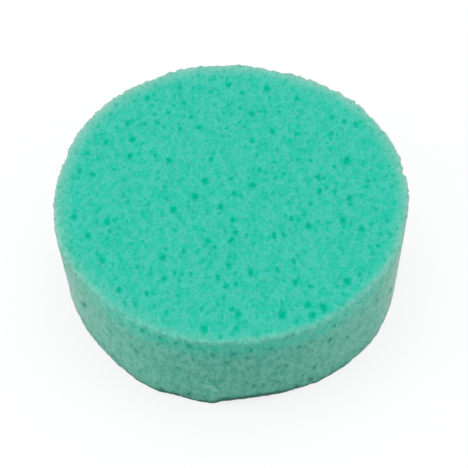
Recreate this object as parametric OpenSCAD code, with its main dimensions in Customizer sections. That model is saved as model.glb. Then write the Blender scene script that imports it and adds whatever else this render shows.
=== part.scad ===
// Round open-cell foam sponge, the water pad of a round wet palette.
// Millimetres, +Z up. The origin is the centre of the underside, so the pad
// stands on z = 0. Angles are counted from +X, and -Y is the front.

/* [Pad] */
// Diameter of the foam disc
pad_d = 78; // [66:1:120]
// Thickness of the foam disc, the height of the sheet that it was cut from
pad_t = 25; // [15:0.5:50]
// Radius of the soft edge round the top face
top_edge_r = 1.2; // [0.4:0.1:3]
// Radius of the soft edge round the underside
base_edge_r = 0.8; // [0.4:0.1:3]

/* [Open cells] */
// Mouth diameter of the smallest of the large open cells
cell_d_min = 0.9; // [0.6:0.1:1.5]
// Mouth diameter of the largest open cells
cell_d_max = 2.2; // [1.6:0.1:2.4]
// Bare foam kept between a cell's mouth and the start of an edge
cell_margin = 0.3; // [0.2:0.1:2]
// Large cells cut open in the back of the wall
back_wall_cells = 24; // [0:1:40]
// Large cells cut open in the underside
base_cells = 56; // [0:1:80]

/* [Hidden] */

// Facets of a full circle: the disc, the soft edges and the bubbles
disc_fn = 180;
edge_fn = 48;
bubble_fn = 24;

pad_r = pad_d / 2;
mid_t = pad_t / 2;

// A cell is a bubble that the cut has opened a little above its middle, so its
// mouth is narrower than the bubble.
bubble_over_mouth = 1.12;

// Each cell's size is a share from 0, the smallest mouth, to 1, the largest.
// Large cells of the top face: angle, share of the free radius, size
TOP_CELLS = [
  [4, 0.82, 0.1], [10, 0.54, 0.4], [17, 0.14, 0.5], [17, 0.75, 1.0], [33, 0.93, 0.3],
  [35, 0.77, 0.2], [37, 0.89, 0.2], [41, 0.24, 0.3], [42, 0.86, 0.2], [47, 0.61, 0.2],
  [60, 0.86, 0.4], [60, 0.54, 0.5], [71, 0.42, 0.4], [74, 0.88, 0.7], [77, 0.64, 0.5],
  [84, 0.80, 0.2], [90, 0.87, 0.5], [110, 0.55, 0.5], [115, 0.27, 0.2], [122, 0.59, 0.2],
  [124, 0.92, 0.5], [135, 0.07, 0.0], [139, 0.84, 0.4], [145, 0.74, 0.5], [147, 0.45, 0.4],
  [148, 0.54, 0.2], [152, 0.86, 0.4], [153, 0.17, 0.5], [155, 0.68, 0.5], [160, 0.93, 0.2],
  [169, 0.93, 0.2], [170, 0.85, 0.4], [191, 0.22, 0.8], [191, 0.94, 0.5], [197, 0.76, 0.5],
  [201, 0.89, 0.4], [202, 0.37, 0.5], [214, 0.89, 0.4], [228, 0.95, 0.4], [231, 0.63, 0.5],
  [233, 0.99, 0.1], [238, 0.52, 0.1], [239, 0.74, 0.2], [246, 0.14, 0.5], [250, 0.40, 0.4],
  [261, 0.98, 0.4], [262, 0.30, 0.0], [263, 0.64, 0.2], [267, 0.69, 0.3], [268, 0.55, 0.3],
  [268, 0.49, 0.1], [270, 0.84, 0.2], [270, 0.37, 0.4], [272, 0.88, 0.5], [273, 0.22, 0.3],
  [274, 0.31, 0.3], [280, 0.61, 0.4], [287, 0.94, 0.8], [294, 0.64, 0.2], [296, 1.00, 0.5],
  [297, 0.92, 0.3], [298, 0.76, 0.4], [301, 0.99, 0.8], [302, 0.83, 0.2], [306, 0.42, 0.3],
  [308, 0.61, 0.0], [312, 0.45, 0.3], [314, 0.94, 0.6], [315, 0.03, 0.5], [319, 0.95, 0.0],
  [328, 0.53, 0.4], [328, 0.42, 0.3], [333, 0.94, 0.1], [338, 0.82, 0.5], [340, 0.70, 0.5],
  [354, 0.71, 0.4], [358, 0.53, 0.5]
];

// Large cells of the front of the wall: angle, share of the free height, size
FRONT_WALL_CELLS = [
  [228, 0.59, 0.2], [232, 0.44, 0.1], [234, 0.90, 0.2], [239, 0.55, 0.4], [242, 1.00, 0.3],
  [247, 0.86, 0.1], [248, 0.99, 0.2], [247, 0.03, 0.1], [253, 1.00, 0.3], [253, 0.53, 0.2],
  [256, 0.07, 0.3], [257, 1.00, 0.5], [258, 0.77, 0.2], [260, 0.98, 0.1], [264, 0.89, 0.2],
  [264, 0.39, 0.2], [265, 0.28, 0.2], [268, 0.74, 0.3], [270, 0.90, 0.4], [275, 0.95, 0.3],
  [274, 0.81, 0.2], [276, 0.26, 0.2], [279, 0.25, 0.2], [281, 0.91, 0.2], [286, 0.53, 0.2],
  [290, 0.59, 0.0], [290, 0.81, 0.2], [292, 0.21, 0.1], [296, 0.29, 0.2], [295, 0.06, 0.5],
  [290, 0.05, 0.2], [301, 0.70, 0.4], [302, 0.92, 0.2], [308, 0.53, 0.2]
];

// The rest of the wall, which the rule below fills with its own cells
back_wall_from = -44;
back_wall_to = 220;

// Cells that a rule places: consecutive ones on a face are this angle apart,
// which spreads them evenly, and each wanders by a share of the spacing.
golden_angle = 180 * (3 - sqrt(5));
wander = 0.28;
// Steps whose multiples never repeat, one for each thing that varies
size_step = sqrt(2);
inward_step = sqrt(3);
sideways_step = sqrt(7);
// Most of the placed cells are small: the size share is raised to this power.
size_bias = 2;

// The share from 0 to 1 that number i of a series has
function share(i, step) = i * step - floor(i * step);

// The same, as a wander from -1 to 1
function to_and_fro(i, step) = 2 * share(i, step) - 1;

// Mouth diameter for a size from 0 to 1
function mouth_d(size) = cell_d_min + (cell_d_max - cell_d_min) * size;

// Depth of a bubble's centre under the surface that opens it
function centre_depth(mouth) = mouth / 2 * sqrt(pow(bubble_over_mouth, 2) - 1);

// Radius inside which the centre of a mouth may lie on a flat face
function free_r(edge_r, mouth) = pad_r - edge_r - cell_margin - mouth / 2;

// Half section of the pad: flat faces, a straight wall and two round edges
module half_section() {
  square([pad_r - max(top_edge_r, base_edge_r), pad_t]);
  square([pad_r - base_edge_r, mid_t]);
  translate([0, base_edge_r]) square([pad_r, pad_t - base_edge_r - top_edge_r]);
  translate([0, mid_t]) square([pad_r - top_edge_r, mid_t]);
  translate([pad_r - base_edge_r, base_edge_r]) circle(base_edge_r, $fn = edge_fn);
  translate([pad_r - top_edge_r, pad_t - top_edge_r]) circle(top_edge_r, $fn = edge_fn);
}

module foam_disc() {
  rotate_extrude($fn = disc_fn) half_section();
}

// One bubble, with its mouth centred on the origin and the foam below it
module bubble(mouth) {
  translate([0, 0, -centre_depth(mouth)])
    sphere(d = mouth * bubble_over_mouth, $fn = bubble_fn);
}

// One bubble that opens in the wall, at a share of the height free for its mouth
module wall_bubble(angle, height, mouth) {
  low = base_edge_r + cell_margin + mouth / 2;
  high = pad_t - top_edge_r - cell_margin - mouth / 2;
  rotate(angle) translate([pad_r, 0, low + (high - low) * height])
    rotate([0, 90, 0]) bubble(mouth);
}

module top_field() {
  for (cell = TOP_CELLS) {
    mouth = mouth_d(cell[2]);
    rotate(cell[0]) translate([free_r(top_edge_r, mouth) * cell[1], 0, pad_t]) bubble(mouth);
  }
}

module base_field() {
  spacing = free_r(base_edge_r, cell_d_max) * sqrt(PI / base_cells);
  for (i = [1 : 1 : base_cells]) {
    mouth = mouth_d(pow(share(i, size_step), size_bias));
    // The middle of ring i of as many rings of equal area
    even_r = free_r(base_edge_r, cell_d_max) * sqrt((i - 0.5) / base_cells);
    inward = spacing * wander * share(i, inward_step);
    sideways = wander * to_and_fro(i, sideways_step) * spacing / even_r;
    rotate(i * golden_angle + sideways * 180 / PI)
      translate([max(0, even_r - inward), 0, 0]) mirror([0, 0, 1]) bubble(mouth);
  }
}

module wall_field() {
  for (cell = FRONT_WALL_CELLS) wall_bubble(cell[0], cell[1], mouth_d(cell[2]));
  pitch = (back_wall_to - back_wall_from) / back_wall_cells;
  for (i = [1 : 1 : back_wall_cells])
    wall_bubble(
      back_wall_from + pitch * (i - 0.5),
      share(i, inward_step),
      mouth_d(pow(share(i, size_step), size_bias))
    );
}

module sponge() {
  color("mediumturquoise")
    difference() {
      foam_disc();
      top_field();
      base_field();
      wall_field();
    }
}

sponge();
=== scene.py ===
import math

import bmesh
import bpy
import numpy as np
from mathutils import Matrix, Vector
from mathutils.kdtree import KDTree


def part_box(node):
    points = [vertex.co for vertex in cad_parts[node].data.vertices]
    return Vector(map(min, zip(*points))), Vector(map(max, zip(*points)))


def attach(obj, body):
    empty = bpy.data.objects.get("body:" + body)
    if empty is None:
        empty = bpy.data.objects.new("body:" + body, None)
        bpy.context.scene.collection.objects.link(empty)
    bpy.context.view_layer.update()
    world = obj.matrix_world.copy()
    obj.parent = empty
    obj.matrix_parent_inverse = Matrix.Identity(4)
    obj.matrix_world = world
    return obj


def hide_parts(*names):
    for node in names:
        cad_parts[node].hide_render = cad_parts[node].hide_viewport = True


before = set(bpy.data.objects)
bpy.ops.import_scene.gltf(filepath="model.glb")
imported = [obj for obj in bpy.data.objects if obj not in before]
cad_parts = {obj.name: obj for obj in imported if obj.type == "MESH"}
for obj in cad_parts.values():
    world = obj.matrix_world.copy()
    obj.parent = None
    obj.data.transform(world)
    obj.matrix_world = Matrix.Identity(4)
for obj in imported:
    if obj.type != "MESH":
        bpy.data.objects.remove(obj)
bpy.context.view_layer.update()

# Metres, the scene's unit, in a millimetre and in a centimetre
MM = 0.001
CM = 0.01
# Keeps a division by a distance of nought from failing
TINY = 1e-9

# ---------------------------------------------------------------- the pad's sizes
pad_low, pad_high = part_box("sponge")
PAD_R = (pad_high[0] - pad_low[0]) / 2
PAD_T = pad_high[2] - pad_low[2]
TOP_EDGE_R = 1.2 * MM
BASE_EDGE_R = 0.8 * MM

# Steps of the blank's two quarter rounds and of its full turn, and how close
# two of its points merge
TOP_EDGE_STEPS = 8
BASE_EDGE_STEPS = 6
TURN_STEPS = 360
MERGE_GAP = 0.001 * MM
# Distance between the points of the foam's mesh
FOAM_PITCH = 0.26 * MM

# The flat map of the skin: room for each face, gap between its parts, and how
# far a face must look up or down to lie in the top or the base
FLAT_FACE = 80 * MM
FLAT_GAP = 4 * MM
FLAT_SPLIT = 0.7

# How far the knife strayed from the circle: angle in degrees, millimetres outwards
TOP_OUTLINE = [
    (2, 0.35), (25, 0.6), (46, 0.7), (68, 0.05), (86, 0.62), (108, 1.0), (126, 0.87),
    (146, 0.78), (166, -0.05), (184, 0.15), (202, 0.6), (225, 0.0), (245, 0.35), (260, 0.65),
    (271, 0.35), (287, 0.15), (297, 0.35), (314, 0.0), (330, 0.35), (345, 0.0),
]
BASE_OUTLINE = [
    (0, 0.0), (45, 0.3), (90, 0.2), (140, 0.4), (180, -0.1), (205, -0.27), (222, -0.33),
    (231, 0.1), (239, 0.65), (246, 0.95), (255, 0.65), (261, 0.68), (266, 0.95), (271, 0.55),
    (276, 0.3), (281, 0.28), (292, 0.0), (304, 0.2), (312, 0.36), (322, 0.6), (334, 0.2),
    (342, -0.1),
]
# The stray fades out inwards from the wall to this share of the radius
STRAY_REACH = 0.6
# Nicks torn in the top rim: angle and width in degrees, millimetres deep
RIM_NICKS = [
    (7.5, 3.8, 0.6), (41, 2.6, 0.25), (47, 3.4, 0.3), (75.5, 2.4, 0.4),
    (81, 2.5, 0.25), (101.5, 2.6, 0.25), (116.5, 4, 0.3), (150, 4, 0.15),
]
# They fade out this far down the wall, and inwards between two distances from it
NICK_HEIGHT = 3.5 * MM
NICK_REACH = (3 * MM, 0.5 * MM)
# The radius of the base edge, larger in its two worn stretches: angle in
# degrees, millimetres
BASE_EDGE = [
    (0, 0.8), (243, 0.8), (250, 1.6), (257, 0.8), (262, 0.8), (267, 2.9), (278, 2.9), (300, 0.8),
]

# ------------------------------------------------------------------- the open cells
# Smallest and largest mouth of the large cells, and the bare foam kept between
# a mouth and the start of an edge, in millimetres
CELL_D_MIN = 0.9
CELL_D_MAX = 2.2
CELL_MARGIN = 0.3

# Large cells of the top face: angle, share of the free radius, size from 0 to 1
TOP_CELLS = [
    (4, 0.82, 0.1), (10, 0.54, 0.4), (17, 0.14, 0.5), (17, 0.75, 1.0), (33, 0.93, 0.3),
    (35, 0.77, 0.2), (37, 0.89, 0.2), (41, 0.24, 0.3), (42, 0.86, 0.2), (47, 0.61, 0.2),
    (60, 0.86, 0.4), (60, 0.54, 0.5), (71, 0.42, 0.4), (74, 0.88, 0.7), (77, 0.64, 0.5),
    (84, 0.80, 0.2), (90, 0.87, 0.5), (110, 0.55, 0.5), (115, 0.27, 0.2), (122, 0.59, 0.2),
    (124, 0.92, 0.5), (135, 0.07, 0.0), (139, 0.84, 0.4), (145, 0.74, 0.5), (147, 0.45, 0.4),
    (148, 0.54, 0.2), (152, 0.86, 0.4), (153, 0.17, 0.5), (155, 0.68, 0.5), (160, 0.93, 0.2),
    (169, 0.93, 0.2), (170, 0.85, 0.4), (191, 0.22, 0.8), (191, 0.94, 0.5), (197, 0.76, 0.5),
    (201, 0.89, 0.4), (202, 0.37, 0.5), (214, 0.89, 0.4), (228, 0.95, 0.4), (231, 0.63, 0.5),
    (233, 0.99, 0.1), (238, 0.52, 0.1), (239, 0.74, 0.2), (246, 0.14, 0.5), (250, 0.40, 0.4),
    (261, 0.98, 0.4), (262, 0.30, 0.0), (263, 0.64, 0.2), (267, 0.69, 0.3), (268, 0.55, 0.3),
    (268, 0.49, 0.1), (270, 0.84, 0.2), (270, 0.37, 0.4), (272, 0.88, 0.5), (273, 0.22, 0.3),
    (274, 0.31, 0.3), (280, 0.61, 0.4), (287, 0.94, 0.8), (294, 0.64, 0.2), (296, 1.00, 0.5),
    (297, 0.92, 0.3), (298, 0.76, 0.4), (301, 0.99, 0.8), (302, 0.83, 0.2), (306, 0.42, 0.3),
    (308, 0.61, 0.0), (312, 0.45, 0.3), (314, 0.94, 0.6), (315, 0.03, 0.5), (319, 0.95, 0.0),
    (328, 0.53, 0.4), (328, 0.42, 0.3), (333, 0.94, 0.1), (338, 0.82, 0.5), (340, 0.70, 0.5),
    (354, 0.71, 0.4), (358, 0.53, 0.5),
]
# Large cells of the front of the wall: angle, share of the free height, size
FRONT_WALL_CELLS = [
    (228, 0.59, 0.2), (232, 0.44, 0.1), (234, 0.90, 0.2), (239, 0.55, 0.4), (242, 1.00, 0.3),
    (247, 0.86, 0.1), (248, 0.99, 0.2), (247, 0.03, 0.1), (253, 1.00, 0.3), (253, 0.53, 0.2),
    (256, 0.07, 0.3), (257, 1.00, 0.5), (258, 0.77, 0.2), (260, 0.98, 0.1), (264, 0.89, 0.2),
    (264, 0.39, 0.2), (265, 0.28, 0.2), (268, 0.74, 0.3), (270, 0.90, 0.4), (275, 0.95, 0.3),
    (274, 0.81, 0.2), (276, 0.26, 0.2), (279, 0.25, 0.2), (281, 0.91, 0.2), (286, 0.53, 0.2),
    (290, 0.59, 0.0), (290, 0.81, 0.2), (292, 0.21, 0.1), (296, 0.29, 0.2), (295, 0.06, 0.5),
    (290, 0.05, 0.2), (301, 0.70, 0.4), (302, 0.92, 0.2), (308, 0.53, 0.2),
]
# The rest of the wall, between two angles, and the underside, which rules fill
# with these many cells
BACK_WALL_FROM = -44
BACK_WALL_TO = 220
BACK_WALL_CELLS = 24
BASE_CELLS = 56
# Consecutive cells of the underside are this angle apart, which spreads them
# evenly, and each wanders by a share of the spacing
GOLDEN_ANGLE = 180 * (3 - math.sqrt(5))
WANDER = 0.28
# Steps whose multiples never repeat, one for each thing that varies
SIZE_STEP = math.sqrt(2)
INWARD_STEP = math.sqrt(3)
SIDEWAYS_STEP = math.sqrt(7)
# Most of the cells that the rules place are small: their size is a share raised
# to this power
SIZE_BIAS = 2

# Middle cells, which lie between the large ones: how many to each square
# centimetre, smallest and largest mouth and least distance apart, and the
# power that keeps most of them small
MIDDLE_PER_CM2 = 32
MIDDLE_D_MIN = 0.45 * MM
MIDDLE_D_MAX = 1.1 * MM
MIDDLE_APART = 1.1 * MM
MIDDLE_SIZE_BIAS = 1.6
# Places tried for each of them, and the pitch of the grid that finds neighbours
TRIES = 3
SEARCH_STEP = 2.4 * MM
# How deep and dark the faintest of them is, and what share of that the wall has
MIDDLE_FAINTEST = 0.45
MIDDLE_WALL_SHARE = 0.72
# A cell is one of a face, and not of the wall, where its way out points up or
# down by more than this
FACE_TILT = 0.5
# Depth of a cell's floor as a share of its mouth, the power that rounds the
# bowl's lip, and less depth on the wall
CELL_DEPTH = 0.28
BOWL_POWER = 1.5
WALL_SHARE = 0.6
# Towards the back of the top face the cells are shallower and their painted shade deeper
BACK_SHALLOWER = 0.4
BACK_STRONGER = 0.35
# Cells and fine grain are longer along the slant that the foam rose in: the
# slant in degrees from upright to the front, the stretch of the wall's cells
# and of the fuzz along it, and of the grain sideways, across and along it
RISE_SLANT = 36
WALL_CELL_STRETCH = 2.3
FUZZ_STRETCH = 2.6
RISE_STRETCH = (1.0, 1.2, 2.5)
# In the faces the cells are this much longer front to back
FACE_CELL_STRETCH = 1.45
# The deep colour of a cell, painted shade of its hollow, fades out between these many times its
# radius, in the faces and in the wall. Smaller mouths than the second size colour less, and those
# under the first not at all
FACE_CELL_SHADE = (0.6, 1.35)
WALL_CELL_SHADE = (0.35, 1.55)
FACE_FULL = (0.2 * MM, 1.1 * MM)
WALL_FULL = (0.5 * MM, 1.4 * MM)

# Seeds of the random draws
MIDDLE_PLACE_SEED = 5
MIDDLE_DEPTH_SEED = 6
LIP_SEEDS = (21, 22, 23)
FUZZ_SEED = 31
WALL_ROUGH_SEED = 32
EDGE_ROUGH_SEEDS = (33, 34)
UNDER_SEED = 35

# ----------------------------------------------------------------- wear and fuzz
# Torn lines in the wall: angle and height in millimetres of both ends, width
WALL_TEARS = [((263.0, 10.4), (265.8, 7.2), 1.5), ((261.6, 12.0), (260.2, 8.6), 1.1)]
# How deep they are, and how strongly they take the painted shade of a cell
TEAR_DEPTH = 0.2 * MM
TEAR_SHADE = 0.75
# The pale scuff beside them: angle, height and radius, and the share of the
# radius in which it is at its palest
SCUFF = (263.0, 6.9, 1.9)
SCUFF_CORE = 0.3
# Torn lips: how far a cell's outline wanders, and over what length
LIP_WANDER = 0.4 * MM
LIP_LENGTH = 0.6 * MM
# Random lumps repeat after this many of their lengths
LUMP_SIDE = 64
# Fuzz of cut struts over the whole skin, and the coarser roughness of the wall
FUZZ = 0.03 * MM
FUZZ_LENGTH = 0.45 * MM
WALL_ROUGH = 0.05 * MM
WALL_ROUGH_LENGTH = 1.5 * MM
# The torn top rim, front and back, and base edge, fine and coarse. The rim's
# tears fade out below it, the base edge's above it, and both inwards
RIM_ROUGH = (0.14 * MM, 0.34 * MM)
RIM_ROUGH_FADE = (0.5 * MM, 3 * MM)
BASE_ROUGH = 0.07 * MM
BASE_ROUGH_FADE = (1 * MM, 4 * MM)
EDGE_ROUGH_LENGTHS = (0.8 * MM, 2.2 * MM)
EDGE_ROUGH_REACH = 2 * MM
# Where the base edge is worn, it and the rim over it are rougher by this factor
WORN_ROUGHER = 1.4

# The wall's look takes over between two distances in from it, which are shares
# of the top edge's radius
WALL_LOOK = (1, 0.3)
# The front and the sides: shares of facing forwards between which they change
FRONT_FACING = (0.4, 0.87)
SIDE_FACING = (0.65, 0.95)
# High in the front of the wall the green is as strong as in the top face: painted light that the
# lit top lets through. It fades between these depths under the rim
FRONT_GLOW_DEPTHS = (1.5 * MM, 8 * MM)
# The wall darkens towards the base between these heights
LOW_DARK = (0.5 * MM, 5 * MM)
# The painted highlight along the top rim: how far it reaches inwards in millimetres and how
# strong it is, and a faint paler band just inside it, all by the angle in degrees
RIM_REACH = [
    (10, 4.5), (30, 4.6), (50, 5.0), (90, 5.2), (130, 5.3), (150, 5.0), (170, 4.6), (190, 4.3),
    (210, 3.6), (230, 3.2), (250, 4.0), (270, 3.6), (290, 2.2), (310, 2.6), (330, 3.5), (350, 4.0),
]
RIM_STRENGTH = [
    (10, 0.95), (30, 1.1), (50, 1.22), (90, 1.28), (130, 1.2), (150, 1.12), (170, 0.92),
    (190, 0.78), (210, 0.45), (230, 0.2), (250, 0.28), (270, 0.38), (290, 0.46), (310, 0.42),
    (330, 0.66), (350, 0.78),
]
RIM_BAND = [(170, 0.0), (190, 0.03), (210, 0.08), (230, 0.12), (250, 0.05), (270, 0.0)]
RIM_BAND_REACH = (4.3 * MM, 3 * MM)
# It fades out this far down the wall, by this power
RIM_DROP = 2.3 * MM
RIM_DROP_POWER = 1.2
# A brighter painted highlight line along the top edge: its strength, how far in and down it
# lies, and how wide it spreads
RIM_LINE = 0.18
RIM_LINE_IN = 0.4 * MM
RIM_LINE_SPREAD = 0.6 * MM
# The painted shade along the turned-in base edge, a dark line where its underside lies in shade.
# It starts at the lowest part in view, at a share of the edge's radius, and is as high as a share
# of it and a little more. It is ragged, and fades from a share of its height on
UNDER_VIEW = 0.41
UNDER_SHARE = 0.87
UNDER_LINE = 0.4 * MM
UNDER_RAGGED = 0.35 * MM
UNDER_FADE = 0.55
# Lower down it is only this strong, between two shares of the lowest height
UNDER_LOW = 0.4
UNDER_LOW_FADE = (0.4, 0.9)
# Inwards it fades out between these many edge radii from the wall
UNDER_REACH = (1.5, 0.8)
# Away from the front it is only this strong, between two shares of facing forwards
UNDER_AWAY = 0.15
UNDER_FACING = (0.74, 0.88)
# Cells of the wall near the base get this painted shade too, and it fades between two heights
UNDER_CELL = 0.55
UNDER_CELL_FADE = (2 * MM, 4 * MM)


def share(i, step):
    """The share from 0 to 1 that number i of a series has."""
    return i * step % 1


def mouth(size):
    """Mouth diameter in millimetres for a size from 0 to 1."""
    return CELL_D_MIN + (CELL_D_MAX - CELL_D_MIN) * size


def placed_mouth(i):
    """Mouth diameter in millimetres of cell number i of those that a rule places."""
    return mouth(share(i, SIZE_STEP) ** SIZE_BIAS)


def on_face(angle, radius, d, up):
    """A cell in a flat face: its place, the way out of the foam and its mouth."""
    a = math.radians(angle)
    z = PAD_T if up else 0
    place = (radius * math.cos(a), radius * math.sin(a), z)
    return place, (0, 0, 1 if up else -1), d * MM


def on_wall(angle, height, d):
    """A cell in the wall, at a share of the height that is free for its mouth."""
    a = math.radians(angle)
    low = BASE_EDGE_R + (CELL_MARGIN + d / 2) * MM
    high = PAD_T - TOP_EDGE_R - (CELL_MARGIN + d / 2) * MM
    out = (math.cos(a), math.sin(a), 0)
    place = (PAD_R * out[0], PAD_R * out[1], low + (high - low) * height)
    return place, out, d * MM


def wall_place(angle, height):
    """A place on the wall from an angle in degrees and a height in millimetres."""
    a = math.radians(angle)
    return PAD_R * math.cos(a), PAD_R * math.sin(a), height * MM


def free_radius(edge_r, d):
    """Radius inside which the centre of a mouth may lie on a flat face."""
    return PAD_R - edge_r - (CELL_MARGIN + d / 2) * MM


def large_cells():
    """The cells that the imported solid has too, from the same places and rules."""
    cells = []
    for angle, radius, size in TOP_CELLS:
        d = mouth(size)
        cells.append(on_face(angle, radius * free_radius(TOP_EDGE_R, d), d, True))
    for angle, height, size in FRONT_WALL_CELLS:
        cells.append(on_wall(angle, height, mouth(size)))
    pitch = (BACK_WALL_TO - BACK_WALL_FROM) / BACK_WALL_CELLS
    for i in range(1, BACK_WALL_CELLS + 1):
        angle = BACK_WALL_FROM + pitch * (i - 0.5)
        cells.append(on_wall(angle, share(i, INWARD_STEP), placed_mouth(i)))
    field_r = free_radius(BASE_EDGE_R, CELL_D_MAX)
    spacing = field_r * math.sqrt(math.pi / BASE_CELLS)
    for i in range(1, BASE_CELLS + 1):
        even_r = field_r * math.sqrt((i - 0.5) / BASE_CELLS)
        inward = spacing * WANDER * share(i, INWARD_STEP)
        sideways = WANDER * (2 * share(i, SIDEWAYS_STEP) - 1) * spacing / even_r
        angle = i * GOLDEN_ANGLE + math.degrees(sideways)
        cells.append(on_face(angle, max(0, even_r - inward), placed_mouth(i), False))
    return cells


# ------------------------------------------------------------------------ the blank
def arc(centre_r, centre_z, radius, start, end, steps):
    """Points of a quarter turn of the half section."""
    points = []
    for i in range(steps + 1):
        a = math.radians(start + (end - start) * i / steps)
        points.append((centre_r + radius * math.cos(a), 0, centre_z + radius * math.sin(a)))
    return points


def foam_blank():
    """The disc as it was cut, with its two soft edges, remeshed evenly."""
    section = [(0, 0, 0)]
    section += arc(PAD_R - BASE_EDGE_R, BASE_EDGE_R, BASE_EDGE_R, -90, 0, BASE_EDGE_STEPS)
    section += arc(PAD_R - TOP_EDGE_R, PAD_T - TOP_EDGE_R, TOP_EDGE_R, 0, 90, TOP_EDGE_STEPS)
    section.append((0, 0, PAD_T))
    bm = bmesh.new()
    points = [bm.verts.new(p) for p in section]
    edges = [bm.edges.new(pair) for pair in zip(points, points[1:])]
    bmesh.ops.spin(
        bm, geom=points + edges, axis=(0, 0, 1), cent=(0, 0, 0),
        angle=2 * math.pi, steps=TURN_STEPS, use_merge=True,
    )
    bmesh.ops.remove_doubles(bm, verts=bm.verts, dist=MERGE_GAP)
    bmesh.ops.recalc_face_normals(bm, faces=bm.faces)
    mesh = bpy.data.meshes.new("blank")
    bm.to_mesh(mesh)
    bm.free()
    blank = bpy.data.objects.new("blank", mesh)
    bpy.context.scene.collection.objects.link(blank)
    even = blank.modifiers.new("even", "REMESH")
    even.mode = "VOXEL"
    even.voxel_size = FOAM_PITCH
    graph = bpy.context.evaluated_depsgraph_get()
    foam = bpy.data.meshes.new_from_object(blank.evaluated_get(graph))
    bpy.data.objects.remove(blank)
    foam.name = "foam_pad"
    return foam


def read_points(mesh):
    """The places of a mesh's points, one row each."""
    flat = np.empty(len(mesh.vertices) * 3, dtype=np.float32)
    mesh.vertices.foreach_get("co", flat)
    return flat.reshape(-1, 3).astype(np.float64)


def true_skin(points):
    """The points moved onto the exact blank, and the way out of the foam at each."""
    edge = np.where(points[:, 2] > PAD_T / 2, TOP_EDGE_R, BASE_EDGE_R)
    flat_r = np.hypot(points[:, 0], points[:, 1])
    scale = np.minimum(flat_r, PAD_R - edge) / np.maximum(flat_r, TINY)
    core = np.column_stack([
        points[:, 0] * scale, points[:, 1] * scale,
        np.clip(points[:, 2], edge, PAD_T - edge),
    ])
    out = points - core
    out /= np.linalg.norm(out, axis=1, keepdims=True)
    return core + out * edge[:, None], out


# -------------------------------------------------------------------- the cut shape
def round_curve(table, degrees):
    """Values from a table of angles, eased from each entry to the next."""
    angles = np.array([a for a, _ in table], dtype=float)
    values = np.array([v for _, v in table])
    angles = np.append(angles, angles[0] + 360)
    values = np.append(values, values[0])
    turn = (degrees - angles[0]) % 360 + angles[0]
    i = np.clip(np.searchsorted(angles, turn, side="right") - 1, 0, len(angles) - 2)
    t = (turn - angles[i]) / (angles[i + 1] - angles[i])
    t = t * t * (3 - 2 * t)
    return values[i] * (1 - t) + values[i + 1] * t


def smooth_step(x, low, high):
    """A soft step from 0 at low to 1 at high."""
    t = np.clip((x - low) / (high - low), 0, 1)
    return t * t * (3 - 2 * t)


def turned(points):
    """Each point's angle in degrees and its distance from the pad's axis."""
    degrees = np.degrees(np.arctan2(points[:, 1], points[:, 0])) % 360
    return degrees, np.hypot(points[:, 0], points[:, 1])


def drawn_in(points, scale):
    """The points with their distance from the pad's axis scaled."""
    return np.column_stack([points[:, 0] * scale, points[:, 1] * scale, points[:, 2]])


def base_edge_radius(points):
    """Radius of the base edge at each point's angle, larger where it is worn."""
    degrees, _ = turned(points)
    return np.maximum(BASE_EDGE_R, round_curve(BASE_EDGE, degrees) * MM)


def wear_edge(points):
    """Rounds the worn stretches of the base edge."""
    edge_r = base_edge_radius(points)
    worn = edge_r > BASE_EDGE_R
    _, flat_r = turned(points)
    over_r = flat_r - (PAD_R - edge_r)
    under = edge_r - points[:, 2]
    far = np.hypot(over_r, under)
    corner = (over_r > 0) & (under > 0) & (far > edge_r) & worn
    pull = np.where(corner, edge_r / np.maximum(far, TINY), 1)
    new_r = np.where(corner, PAD_R - edge_r + over_r * pull, flat_r)
    worn_points = drawn_in(points, new_r / np.maximum(flat_r, TINY))
    worn_points[:, 2] = np.where(corner, edge_r - under * pull, points[:, 2])
    return worn_points


def shaded_under(points, ragged):
    """How strong the painted shade is at each point of the worn foam on the turned-in base edge.
    """
    edge_r = base_edge_radius(points)
    low = UNDER_VIEW * edge_r
    high = low + UNDER_SHARE * edge_r + UNDER_LINE
    _, flat_r = turned(points)
    height = points[:, 2]
    under = 1 - smooth_step(height + ragged, low + UNDER_FADE * (high - low), high)
    seen = smooth_step(height, UNDER_LOW_FADE[0] * low, UNDER_LOW_FADE[1] * low)
    under *= UNDER_LOW + (1 - UNDER_LOW) * seen
    inner, outer = (PAD_R - radii * edge_r for radii in UNDER_REACH)
    return under * smooth_step(flat_r, inner, outer)


def nick_rim(points):
    """Tears the nicks out of the top rim."""
    degrees, flat_r = turned(points)
    near = smooth_step(points[:, 2], PAD_T - NICK_HEIGHT, PAD_T - TOP_EDGE_R)
    near *= smooth_step(flat_r, PAD_R - NICK_REACH[0], PAD_R - NICK_REACH[1])
    torn = np.zeros(len(points))
    for angle, width, deep in RIM_NICKS:
        off = np.abs((degrees - angle + 180) % 360 - 180) / (width / 2)
        torn = np.maximum(torn, np.clip(1 - off**2, 0, 1) * deep * MM)
    return drawn_in(points, 1 - torn * near / PAD_R)


def stray_cut(points):
    """Moves the wall in and out as the knife strayed."""
    degrees, flat_r = turned(points)
    up = np.clip(points[:, 2] / PAD_T, 0, 1)
    stray = round_curve(TOP_OUTLINE, degrees) * up + round_curve(BASE_OUTLINE, degrees) * (1 - up)
    near_wall = smooth_step(flat_r, PAD_R * STRAY_REACH, PAD_R)
    return drawn_in(points, 1 + stray * MM * near_wall / PAD_R)


# ------------------------------------------------------------------ cells in the foam
def lumps(points, length, seed):
    """Smooth noise from -1 to 1 that changes over the given length."""
    lattice = np.random.default_rng(seed).uniform(-1, 1, (LUMP_SIDE, LUMP_SIDE, LUMP_SIDE))
    scaled = points / length
    corner = np.floor(scaled).astype(int)
    t = scaled - corner
    t = t * t * (3 - 2 * t)
    total = np.zeros(len(points))
    for dx in (0, 1):
        for dy in (0, 1):
            for dz in (0, 1):
                step = np.array((dx, dy, dz))
                weight = np.prod(np.where(step, t, 1 - t), axis=1)
                x, y, z = ((corner + step) % LUMP_SIDE).T
                total += weight * lattice[x, y, z]
    return total


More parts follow.
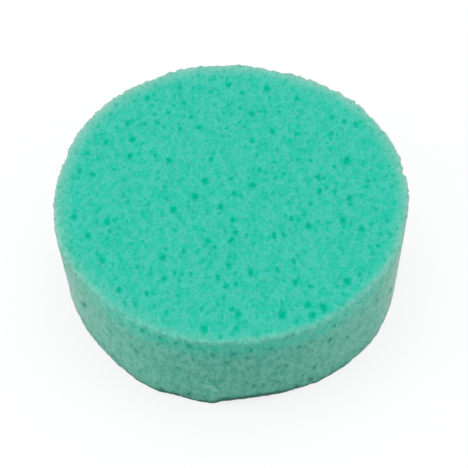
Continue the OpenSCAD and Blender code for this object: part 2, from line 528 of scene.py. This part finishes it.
def grid_key(place):
    """The cube of the search grid that a place lies in."""
    return tuple(int(math.floor(v / SEARCH_STEP)) for v in place)


def is_clear(place, d, grid):
    """Whether a cell keeps clear of all the cells that the search grid holds."""
    key = grid_key(place)
    for dx in (-1, 0, 1):
        for dy in (-1, 0, 1):
            for dz in (-1, 0, 1):
                for other, other_d in grid.get((key[0] + dx, key[1] + dy, key[2] + dz), ()):
                    if math.dist(place, other) < max(MIDDLE_APART, (d + other_d) / 2):
                        return False
    return True


def middle_cells(points, out, large):
    """Cells at random points of the foam, clear of the large ones and of each other."""
    rng = np.random.default_rng(MIDDLE_PLACE_SEED)
    area = 2 * math.pi * PAD_R**2 + 2 * math.pi * PAD_R * PAD_T
    wanted = int(MIDDLE_PER_CM2 * area / CM**2)
    picks = rng.choice(len(points), wanted * TRIES, replace=False)
    sizes = rng.random(len(picks)) ** MIDDLE_SIZE_BIAS
    grid = {}
    for place, _, d in large:
        grid.setdefault(grid_key(place), []).append((place, d))
    cells = []
    for pick, size in zip(picks, sizes):
        place = points[pick]
        d = MIDDLE_D_MIN + (MIDDLE_D_MAX - MIDDLE_D_MIN) * size
        if not is_clear(place, d, grid):
            continue
        grid.setdefault(grid_key(place), []).append((place, d))
        cells.append((place, out[pick], d))
        if len(cells) == wanted:
            break
    return cells


def squeezed(points, stretch):
    """The points squeezed along the foam's rise, so that what they hold is stretched."""
    slant = math.radians(RISE_SLANT)
    rise = np.array((0, -math.sin(slant), math.cos(slant)))
    return points - np.outer(points @ rise * (1 - 1 / stretch), rise)


def tear(points, start, end, width):
    """How far each point lies inside a torn line in the wall."""
    a, b = (np.array(wall_place(*spot)) for spot in (start, end))
    along = np.clip((points - a) @ (b - a) / ((b - a) @ (b - a)), 0, 1)
    off = np.linalg.norm(points - a - np.outer(along, b - a), axis=1) / (width * MM / 2)
    return np.clip(1 - off**2, 0, 1)


def carve(points, large, middle):
    """Depth of the open cells at each point, and how strongly it takes a cell's painted shade."""
    tree = KDTree(len(points))
    for i, p in enumerate(points):
        tree.insert(p, i)
    tree.balance()
    depth = np.zeros(len(points))
    inside = np.zeros(len(points))
    cells = [cell + (1,) for cell in large]
    uneven = np.random.default_rng(MIDDLE_DEPTH_SEED).uniform(MIDDLE_FAINTEST, 1, len(middle))
    for (place, way, d), deepness in zip(middle, uneven):
        level = abs(way[2])
        deepness *= MIDDLE_WALL_SHARE + (1 - MIDDLE_WALL_SHARE) * level
        cells.append((place, way, d, deepness))
    for place, way, d, deepness in cells:
        radius = d / 2
        in_face = abs(way[2]) > FACE_TILT
        shade_from, shade_to = FACE_CELL_SHADE if in_face else WALL_CELL_SHADE
        reach = radius * (FACE_CELL_STRETCH if in_face else WALL_CELL_STRETCH) * shade_to
        near = [i for _, i, _ in tree.find_range(place, reach)]
        if not near:
            continue
        offset = points[near] - np.asarray(place)
        offset -= np.outer(offset @ np.asarray(way), way)
        if in_face:
            offset[:, 1] /= FACE_CELL_STRETCH
        else:
            offset = squeezed(offset, WALL_CELL_STRETCH)
        q = np.linalg.norm(offset, axis=1) / radius
        at_back = max(0, place[1]) / PAD_R * max(0, way[2])
        bowl = np.clip(1 - q**2, 0, 1) ** BOWL_POWER
        bowl *= d * CELL_DEPTH * deepness**2 * (1 - BACK_SHALLOWER * at_back)
        depth[near] = np.maximum(depth[near], bowl)
        strength = smooth_step(d, *(FACE_FULL if in_face else WALL_FULL)) * deepness
        strength = min(1, strength * (1 + BACK_STRONGER * at_back))
        cell_shade = strength * (1 - smooth_step(q, shade_from, shade_to))
        inside[near] = np.maximum(inside[near], cell_shade)
    return depth, inside


def flat_map(mesh, points, out):
    """Lays the top, the base and the two halves of the wall out side by side."""
    corners = np.empty(len(mesh.loops), dtype=np.int32)
    mesh.loops.foreach_get("vertex_index", corners)
    starts = np.empty(len(mesh.polygons), dtype=np.int32)
    mesh.polygons.foreach_get("loop_start", starts)
    counts = np.diff(np.append(starts, len(corners)))
    middle = np.add.reduceat(points[corners], starts) / counts[:, None]
    up = np.add.reduceat(out[corners, 2], starts) / counts
    up = np.repeat(up, counts)
    turn = np.repeat(np.arctan2(middle[:, 1], middle[:, 0]), counts)
    x, y, z = points[corners].T
    off = (np.arctan2(y, x) - turn + math.pi) % (2 * math.pi) - math.pi
    half = turn < 0
    across = FLAT_GAP + PAD_R * (turn + off + math.pi * half)
    above = FLAT_FACE + np.where(half, PAD_T + FLAT_GAP, 0) + z
    # The middles of the top and the base lie half and one and a half rooms along
    for side, middle_x, flip in ((up, 0.5, 1), (-up, 1.5, -1)):
        on_side = side > FLAT_SPLIT
        across = np.where(on_side, middle_x * FLAT_FACE + flip * x, across)
        above = np.where(on_side, 0.5 * FLAT_FACE + y, above)
    flat = np.column_stack([across, above]) / (2 * FLAT_FACE)
    layer = mesh.uv_layers.new(name="OFBake")
    layer.data.foreach_set("uv", flat.astype(np.float32).ravel())


# ------------------------------------------------------------------ the finished pad
def opened(points, out, wander):
    """Depth of the cells and tears, how strongly each point takes their painted shade, and the
    scuff.
    """
    large = large_cells()
    middle = middle_cells(points, out, large)
    torn_points = points + wander * LIP_WANDER
    depth, inside = carve(torn_points, large, middle)
    angle, height, radius = SCUFF
    away = np.linalg.norm(points - wall_place(angle, height) + wander * MM, axis=1)
    scuff = 1 - smooth_step(away, SCUFF_CORE * radius * MM, radius * MM)
    for start, end, width in WALL_TEARS:
        torn = tear(torn_points, start, end, width)
        depth = np.maximum(depth, torn * TEAR_DEPTH)
        inside = np.maximum(inside, torn * TEAR_SHADE)
        scuff *= 1 - torn
    return depth, inside, scuff


def edge_roughness(points, facing):
    """How deep the knife's tears are along the top rim and the base edge."""
    _, flat_r = turned(points)
    behind = 0.5 - 0.5 * facing
    rough = RIM_ROUGH[0] + (RIM_ROUGH[1] - RIM_ROUGH[0]) * behind
    rough *= 1 - smooth_step(PAD_T - points[:, 2], *RIM_ROUGH_FADE)
    rough += BASE_ROUGH * (1 - smooth_step(points[:, 2], *BASE_ROUGH_FADE))
    rough *= np.where(base_edge_radius(points) > BASE_EDGE_R, WORN_ROUGHER, 1)
    return rough * smooth_step(flat_r, PAD_R - EDGE_ROUGH_REACH, PAD_R)


def sunk_foam(points, depth, wall, facing):
    """How far each point sinks, for its cell, the fuzz and the knife's tears."""
    grown = squeezed(points, FUZZ_STRETCH)
    sunk = depth * (1 + (WALL_SHARE - 1) * wall)
    sunk += FUZZ * lumps(grown, FUZZ_LENGTH, FUZZ_SEED)
    sunk += WALL_ROUGH * wall * lumps(grown, WALL_ROUGH_LENGTH, WALL_ROUGH_SEED)
    rough = edge_roughness(points, facing)
    for seed, length in zip(EDGE_ROUGH_SEEDS, EDGE_ROUGH_LENGTHS):
        sunk += rough * lumps(points, length, seed)
    return sunk


def painted_rim_highlight(points):
    """How strong the painted highlight is at each point for its nearness to the top rim."""
    degrees, flat_r = turned(points)
    below_rim = PAD_T - points[:, 2]
    reach = round_curve(RIM_REACH, degrees) * MM
    rim = round_curve(RIM_STRENGTH, degrees) * np.clip(1 - (PAD_R - flat_r) / reach, 0, 1) ** 2
    inner, outer = (PAD_R - distance for distance in RIM_BAND_REACH)
    rim += round_curve(RIM_BAND, degrees) * smooth_step(flat_r, inner, outer)
    rim *= np.clip(1 - below_rim / RIM_DROP, 0, 1) ** RIM_DROP_POWER
    line = np.hypot(PAD_R - RIM_LINE_IN - flat_r, below_rim - RIM_LINE_IN)
    return rim + RIM_LINE * np.exp(-((line / RIM_LINE_SPREAD) ** 2))


def shaded_line(points, worn, facing, wander, wall_cells):
    """How strong the painted shade is at each point along the base edge and in the cells there."""
    ragged = UNDER_RAGGED * (lumps(points, EDGE_ROUGH_LENGTHS[1], UNDER_SEED) + wander[:, 0])
    under = shaded_under(worn, ragged)
    under *= UNDER_AWAY + (1 - UNDER_AWAY) * smooth_step(facing, *UNDER_FACING)
    cells = UNDER_CELL * wall_cells * (1 - smooth_step(points[:, 2], *UNDER_CELL_FADE))
    return np.maximum(under, cells)


def foam_pad():
    """The pad: a cut blank with open cells, worn edges and fuzz."""
    mesh = foam_blank()
    points, out = true_skin(read_points(mesh))
    flat_map(mesh, points, out)
    wander = np.column_stack([lumps(points, LIP_LENGTH, seed) for seed in LIP_SEEDS])
    depth, inside, scuff = opened(points, out, wander)

    _, flat_r = turned(points)
    facing = -points[:, 1] / np.maximum(flat_r, TINY)
    wall = smooth_step(flat_r, *(PAD_R - part * TOP_EDGE_R for part in WALL_LOOK))
    worn = wear_edge(points)
    shaped = nick_rim(stray_cut(worn))
    shaped -= out * sunk_foam(points, depth, wall, facing)[:, None]
    # The pad stands on its underside, so no fuzz hangs lower
    shaped[:, 2] = np.maximum(shaped[:, 2], 0)
    mesh.vertices.foreach_set("co", shaped.astype(np.float32).ravel())

    # Painted light that the lit top lets through, high in the front of the wall
    front_glow = smooth_step(facing, *FRONT_FACING)
    front_glow *= 1 - smooth_step(PAD_T - points[:, 2], *FRONT_GLOW_DEPTHS)
    looks = {
        # How strongly each point takes the painted shade of a cell
        "in_cell": inside,
        "wall": wall,
        "greyed": wall * (1 - front_glow),
        "rim": painted_rim_highlight(points),
        # Painted shade along the base edge and in the wall's cells near it
        "under": shaded_line(points, worn, facing, wander, inside * wall),
        "low": wall * (1 - smooth_step(points[:, 2], *LOW_DARK)),
        "scuff": scuff,
        "back": 0.5 + 0.5 * points[:, 1] / PAD_R,
        "side": wall * (1 - smooth_step(facing, *SIDE_FACING)),
    }
    for name, values in looks.items():
        layer = mesh.attributes.new(name, "FLOAT", "POINT")
        layer.data.foreach_set("value", values.astype(np.float32))
    mesh.shade_smooth()
    mesh.update()
    pad = bpy.data.objects.new("foam_pad", mesh)
    bpy.context.scene.collection.objects.link(pad)
    return pad


# ------------------------------------------------------------------------ the finish
# Sizes of the grain: the net of struts and the noise over it, coarser by a
# factor in the wall, and the patches of tone
STRUT_NET = 0.55 * MM
STRUT_NOISE = 0.45 * MM
WALL_COARSER = 1.3
TONE_PATCH = 1.5 * MM
# The torn net of small cells and dots: how far it is bent, over what length,
# and the size of its cells and of its dots in the faces and the wall
NET_BEND = 0.6 * MM
NET_BEND_LENGTH = 0.7 * MM
SMALL_CELL = 1.1 * MM
TOP_DOT = 0.8 * MM
WALL_DOT = 1.15 * MM
# Steps from 0 to 1 in the patterns: hollows of the net and specks of the noise,
# pale to deep tone, the edge of a small cell and of a dot, and the chance that
# a cell of the torn net shows
HOLLOW_STEP = (0.5, 0.12)
SPECK_STEP = (0.35, 0.65)
TONE_STEP = (0.38, 0.66)
SMALL_CELL_EDGE = (0.42, 0.12)
SMALL_CELL_CHANCE = (0.3, 0.8)
DOT_EDGE = (0.42, 0.15)
DOT_CHANCE = (0.3, 0.7)
# Share of the painted shade of a cell that a small one has
SMALL_CELL_SHARE = 0.7
# Share of the rim's painted highlight that a cell there loses
RIM_CELL_SHARE = 0.5
# Parts of the net's hollows and of the noise's specks in the dark of the grain
HOLLOW_PART = 0.6
SPECK_PART = 0.4
# Share of the foam's own colour that the painted shade of the base edge's line covers
UNDER_STRENGTH = 0.85
# The bump, and the shares by which it is lower in the net's hollows and in the wall
BUMP_DEPTH = 0.12 * MM
HOLLOW_BUMP = 0.5
WALL_BUMP = 0.5

# Colours, in linear values
# Each *_CELL green, the darker colour deep in the cells, is painted shade
TOP_PALE = (0.063, 0.572, 0.436, 1)
TOP_DEEP = (0.028, 0.556, 0.406, 1)
TOP_CELL = (0.000, 0.522, 0.344, 1)
# Painted light high in the front of the wall, where the lit top shines through
FRONT_GLOW_PALE = (0.090, 0.655, 0.490, 1)
FRONT_GLOW_DEEP = (0.045, 0.625, 0.450, 1)
FRONT_GLOW_CELL = (0.020, 0.500, 0.345, 1)
# The rest of the wall: paler and greyer than the faces, in part painted sheen
WALL_PALE = (0.165, 0.586, 0.450, 1)
WALL_DEEP = (0.102, 0.520, 0.382, 1)
WALL_CELL = (0.045, 0.430, 0.295, 1)
# The painted highlight of the top rim
RIM_PAINTED_HIGHLIGHT = (0.290, 0.590, 0.505, 1)
SCUFF_LIGHT = (0.210, 0.660, 0.530, 1)
# The painted shade of the turned-in base edge
PAINTED_UNDER_SHADE = (0.004, 0.122, 0.080, 1)
SHEEN_TINT = (1.0, 0.85, 0.88, 1)
# Tints that darken the colour under them
GRAIN_TINT = (0.660, 0.720, 0.700, 1)
# On the sides the grain is fainter, in part painted sheen that washes it out
SIDE_GRAIN_TINT = (0.760, 0.745, 0.725, 1)
FRONT_DOT_TINT = (0.760, 0.905, 0.885, 1)
BACK_DOT_TINT = (0.690, 0.815, 0.795, 1)
WALL_DOT_TINT = (0.740, 0.810, 0.790, 1)
LOW_TINT = (0.82, 0.86, 0.86, 1)


class Finish:
    """One material and the nodes that make it."""

    def __init__(self, name):
        self.material = bpy.data.materials.new(name)
        self.material.use_nodes = True
        self.nodes = self.material.node_tree.nodes
        self.links = self.material.node_tree.links
        self.shader = self.nodes["Principled BSDF"]

    def node(self, kind, **values):
        """A new node with the given settings."""
        made = self.nodes.new("ShaderNode" + kind)
        for name, value in values.items():
            setattr(made, name, value)
        return made

    def feed(self, socket, value):
        """Sets a socket to a plain value, or joins it to another node's output."""
        if isinstance(value, (int, float, tuple)):
            socket.default_value = value
        else:
            self.links.new(value, socket)

    def calc(self, operation, a, b, clamp=False):
        """One value worked out from two."""
        made = self.node("Math", operation=operation, use_clamp=clamp)
        self.feed(made.inputs[0], a)
        self.feed(made.inputs[1], b)
        return made.outputs[0]

    def between(self, factor, a, b):
        """A value between a and b."""
        # A Mix node keeps its plain values on sockets 2 and 3
        made = self.node("Mix", data_type="FLOAT")
        self.feed(made.inputs[0], factor)
        self.feed(made.inputs[2], a)
        self.feed(made.inputs[3], b)
        return made.outputs[0]

    def mix(self, factor, a, b, blend="MIX"):
        """A colour between a and b."""
        # A Mix node keeps its colours on sockets 6 and 7, and puts one out on 2
        made = self.node("Mix", data_type="RGBA", blend_type=blend)
        self.feed(made.inputs[0], factor)
        self.feed(made.inputs[6], a)
        self.feed(made.inputs[7], b)
        return made.outputs[2]

    def darken(self, factor, colour, tint):
        """The colour, multiplied by a tint as far as the factor says."""
        return self.mix(factor, colour, tint, blend="MULTIPLY")

    def ramp(self, value, low, high):
        """A soft step from 0 at low to 1 at high, where low may be above high."""
        made = self.node("MapRange", interpolation_type="SMOOTHSTEP")
        self.feed(made.inputs["Value"], value)
        made.inputs["From Min"].default_value = low
        made.inputs["From Max"].default_value = high
        return made.outputs["Result"]

    def attribute(self, name):
        """A value that the piece's own points hold."""
        return self.node("Attribute", attribute_name=name).outputs["Fac"]

    def noise(self, place, size, detail):
        """Noise whose lumps have the given size."""
        made = self.node("TexNoise")
        made.inputs["Scale"].default_value = 1 / size
        made.inputs["Detail"].default_value = detail
        self.feed(made.inputs["Vector"], place)
        return made

    def net(self, place, size, detail=0):
        """A net of cells: the distance from the middle of each, and its own colour."""
        made = self.node("TexVoronoi", feature="F1")
        made.inputs["Scale"].default_value = 1 / size
        made.inputs["Detail"].default_value = detail
        self.feed(made.inputs["Vector"], place)
        return made

    def torn_cells(self, place, size, edge, chance):
        """Some of the cells of a net: how far each place lies inside one of them."""
        net = self.net(place, size)
        own = self.node("SeparateColor")
        self.feed(own.inputs[0], net.outputs["Color"])
        inside = self.ramp(net.outputs["Distance"], *edge)
        return self.calc("MULTIPLY", inside, self.ramp(own.outputs[0], *chance))


def grown_place(foam):
    """The object's own space, squeezed along the slant that the foam rose in."""
    turn = foam.node("Mapping", vector_type="TEXTURE")
    turn.inputs["Rotation"].default_value = (math.radians(RISE_SLANT), 0, 0)
    foam.feed(turn.inputs["Vector"], foam.node("TexCoord").outputs["Object"])
    squeeze = foam.node("VectorMath", operation="DIVIDE")
    foam.feed(squeeze.inputs[0], turn.outputs["Vector"])
    squeeze.inputs[1].default_value = RISE_STRETCH
    return squeeze.outputs[0]


def torn_place(foam, place):
    """The grown space, bent at random so that the nets in it look torn."""
    bend = foam.noise(place, NET_BEND_LENGTH, 1)
    bent = foam.node("VectorMath", operation="MULTIPLY_ADD")
    foam.feed(bent.inputs[0], bend.outputs["Color"])
    bent.inputs[1].default_value = (NET_BEND, NET_BEND, NET_BEND)
    foam.feed(bent.inputs[2], place)
    return bent.outputs[0]


def struts(foam, place, coarser):
    """The net of struts in the skin: its small hollows and its grain."""
    net = foam.net(place, STRUT_NET * coarser, detail=1)
    noise = foam.noise(place, STRUT_NOISE * coarser, 2)
    return foam.ramp(net.outputs["Distance"], *HOLLOW_STEP), noise.outputs["Fac"]


def foam_colour(foam, place, torn, hollow, grain):
    """The foam's green, by place, darker in its dots and grain, with painted shade in its cells
    and along the base edge, painted light high in the front of the wall and a painted highlight on
    the rim.
    """
    wall = foam.attribute("wall")
    patch = foam.noise(place, TONE_PATCH, 1)
    tone = foam.ramp(patch.outputs["Fac"], *TONE_STEP)
    small = foam.torn_cells(torn, SMALL_CELL, SMALL_CELL_EDGE, SMALL_CELL_CHANCE)
    small = foam.calc("MULTIPLY", small, SMALL_CELL_SHARE)
    in_cell = foam.calc("MAXIMUM", foam.attribute("in_cell"), small)

    def in_cells(pale, deep, cell):
        """A green in pale and deep patches, with the painted shade of its open cells."""
        return foam.mix(in_cell, foam.mix(tone, pale, deep), cell)

    front_glow = in_cells(FRONT_GLOW_PALE, FRONT_GLOW_DEEP, FRONT_GLOW_CELL)
    colour = foam.mix(wall, in_cells(TOP_PALE, TOP_DEEP, TOP_CELL), front_glow)
    # The rest of the wall, paler and greyer, in part painted sheen
    rest_of_wall = in_cells(WALL_PALE, WALL_DEEP, WALL_CELL)
    colour = foam.mix(foam.attribute("greyed"), colour, rest_of_wall)
    colour = foam.mix(foam.attribute("scuff"), colour, SCUFF_LIGHT)
    # The painted highlight along the rim, weaker in the cells
    bare = foam.calc("SUBTRACT", 1, foam.calc("MULTIPLY", in_cell, RIM_CELL_SHARE))
    colour = foam.mix(foam.calc("MULTIPLY", foam.attribute("rim"), bare), colour, RIM_PAINTED_HIGHLIGHT)

    hollows = foam.calc("MULTIPLY", hollow, HOLLOW_PART)
    specks = foam.calc("MULTIPLY", foam.ramp(grain, *SPECK_STEP), SPECK_PART)
    grains = foam.calc("ADD", hollows, specks, clamp=True)
    grain_tint = foam.mix(foam.attribute("side"), GRAIN_TINT, SIDE_GRAIN_TINT)
    colour = foam.darken(grains, colour, grain_tint)
    top_dots = foam.torn_cells(torn, TOP_DOT, DOT_EDGE, DOT_CHANCE)
    wall_dots = foam.torn_cells(torn, WALL_DOT, DOT_EDGE, DOT_CHANCE)
    top_dot_tint = foam.mix(foam.attribute("back"), FRONT_DOT_TINT, BACK_DOT_TINT)
    dot_tint = foam.mix(wall, top_dot_tint, WALL_DOT_TINT)
    colour = foam.darken(foam.between(wall, top_dots, wall_dots), colour, dot_tint)
    colour = foam.darken(foam.attribute("low"), colour, LOW_TINT)
    # Painted shade along the base edge
    shaded = foam.calc("MULTIPLY", foam.attribute("under"), UNDER_STRENGTH)
    return foam.mix(shaded, colour, PAINTED_UNDER_SHADE)


def foam_bump(foam, hollow, grain):
    """The finest fuzz, lower in the wall, whose grain is coarser."""
    height = foam.calc("SUBTRACT", grain, foam.calc("MULTIPLY", hollow, HOLLOW_BUMP))
    flatter = foam.calc("MULTIPLY", foam.attribute("wall"), WALL_BUMP)
    height = foam.calc("MULTIPLY", height, foam.calc("SUBTRACT", 1, flatter))
    bump = foam.node("Bump")
    bump.inputs["Strength"].default_value = 1.0
    bump.inputs["Distance"].default_value = BUMP_DEPTH
    foam.feed(bump.inputs["Height"], height)
    return bump.outputs["Normal"]


def foam_finish():
    """Matte open-cell foam with a soft sheen of cut struts."""
    foam = Finish("foam")
    place = grown_place(foam)
    torn = torn_place(foam, place)
    wall = foam.attribute("wall")
    top_hollow, top_grain = struts(foam, place, 1)
    wall_hollow, wall_grain = struts(foam, place, WALL_COARSER)
    hollow = foam.between(wall, top_hollow, wall_hollow)
    grain = foam.between(wall, top_grain, wall_grain)
    skin = foam.shader.inputs
    foam.feed(skin["Base Color"], foam_colour(foam, place, torn, hollow, grain))
    foam.feed(skin["Normal"], foam_bump(foam, hollow, grain))
    skin["Roughness"].default_value = 0.95
    skin["Specular IOR Level"].default_value = 0.0
    skin["Sheen Weight"].default_value = 0.6
    skin["Sheen Roughness"].default_value = 0.35
    skin["Sheen Tint"].default_value = SHEEN_TINT
    return foam.material


# ------------------------------------------------------------------------- the studio
# Half the side of the floor, in metres
FLOOR_HALF = 3
# Grey of the floor for the light that it sends back, and as it is seen, and
# how much of what is seen is plain white
FLOOR_GREY = (0.7, 0.7, 0.7, 1)
FLOOR_SEEN = (0.95, 0.95, 0.95, 1)
FLOOR_WHITE = 0.8
# Strength of the fill, and the softboxes: name, place, target, width and height
# in metres, and power in watts
FILL_LIGHT = 0.43
SOFTBOXES = [
    ("overhead", (0, 0.15, 0.8), (0, 0, 0), 0.8, 0.8, 3.9),
    ("left", (-0.75, -0.1, 0.3), (0, 0, 0.01), 0.5, 0.4, 2.4),
    ("right", (0.75, -0.1, 0.3), (0, 0, 0.01), 0.5, 0.4, 1.8),
]
# The camera: lens and sensor in millimetres, distance from the middle of the
# underside, degrees above the floor, the place it aims at in millimetres, and
# its roll in degrees
LENS = 91.33
SENSOR = 36
CAMERA_FAR = 281.93 * MM
CAMERA_RAISED = 54.06
CAMERA_TARGET = (0.607, 6.918, 0)
CAMERA_ROLL = -0.805


def floor():
    """A pale sheet of paper that still shows a faint shadow of the pad."""
    bm = bmesh.new()
    bmesh.ops.create_grid(bm, x_segments=1, y_segments=1, size=FLOOR_HALF)
    mesh = bpy.data.meshes.new("floor")
    bm.to_mesh(mesh)
    bm.free()
    ground = bpy.data.objects.new("floor", mesh)
    bpy.context.scene.collection.objects.link(ground)
    paper = Finish("floor")
    seen = paper.node("LightPath").outputs["Is Camera Ray"]
    matte = paper.shader.inputs
    paper.feed(matte["Base Color"], paper.mix(seen, FLOOR_GREY, FLOOR_SEEN))
    matte["Roughness"].default_value = 1
    matte["Specular IOR Level"].default_value = 0
    sheet = paper.node("MixShader")
    paper.feed(sheet.inputs[0], paper.calc("MULTIPLY", seen, FLOOR_WHITE))
    paper.feed(sheet.inputs[1], paper.shader.outputs[0])
    paper.feed(sheet.inputs[2], paper.node("Emission").outputs[0])
    paper.feed(paper.nodes["Material Output"].inputs["Surface"], sheet.outputs[0])
    mesh.materials.append(paper.material)


def softbox(name, place, target, width, height, power):
    """One flat lamp, turned to its target."""
    light = bpy.data.lights.new(name, "AREA")
    light.shape = "RECTANGLE"
    light.size = width
    light.size_y = height
    light.energy = power
    lamp = bpy.data.objects.new(name, light)
    lamp.location = place
    lamp.rotation_euler = (Vector(target) - Vector(place)).to_track_quat("-Z", "Y").to_euler()
    bpy.context.scene.collection.objects.link(lamp)


def studio():
    """A soft fill from all round, white where the camera sees it, and the softboxes."""
    world = bpy.data.worlds.new("studio")
    bpy.context.scene.world = world
    world.use_nodes = True
    nodes = world.node_tree.nodes
    links = world.node_tree.links
    fill = nodes["Background"]
    fill.inputs["Color"].default_value = (1, 1, 1, 1)
    fill.inputs["Strength"].default_value = FILL_LIGHT
    white = nodes.new("ShaderNodeBackground")
    white.inputs["Strength"].default_value = 1
    path = nodes.new("ShaderNodeLightPath")
    blend = nodes.new("ShaderNodeMixShader")
    links.new(path.outputs["Is Camera Ray"], blend.inputs[0])
    links.new(fill.outputs[0], blend.inputs[1])
    links.new(white.outputs[0], blend.inputs[2])
    links.new(blend.outputs[0], nodes["World Output"].inputs["Surface"])
    for box in SOFTBOXES:
        softbox(*box)


def camera():
    """The camera, which looks down on the pad from the front."""
    data = bpy.data.cameras.new("camera")
    data.sensor_width = SENSOR
    data.lens = LENS
    data.clip_start = 0.01
    data.clip_end = 10
    view = bpy.data.objects.new("camera", data)
    raised = math.radians(CAMERA_RAISED)
    stand = Vector((0, -math.cos(raised), math.sin(raised))) * CAMERA_FAR
    ahead = (Vector(CAMERA_TARGET) * MM - stand).normalized()
    right = ahead.cross(Vector((0, 0, 1))).normalized()
    above = right.cross(ahead)
    turn = Matrix((right, above, -ahead)).transposed().to_4x4()
    roll = Matrix.Rotation(math.radians(CAMERA_ROLL), 4, "Z")
    view.matrix_world = Matrix.Translation(stand) @ turn @ roll
    bpy.context.scene.collection.objects.link(view)
    bpy.context.scene.camera = view


bpy.context.scene.view_settings.view_transform = "Standard"
pad = foam_pad()
pad.data.materials.append(foam_finish())
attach(pad, "root")
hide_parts("sponge")
floor()
studio()
camera()
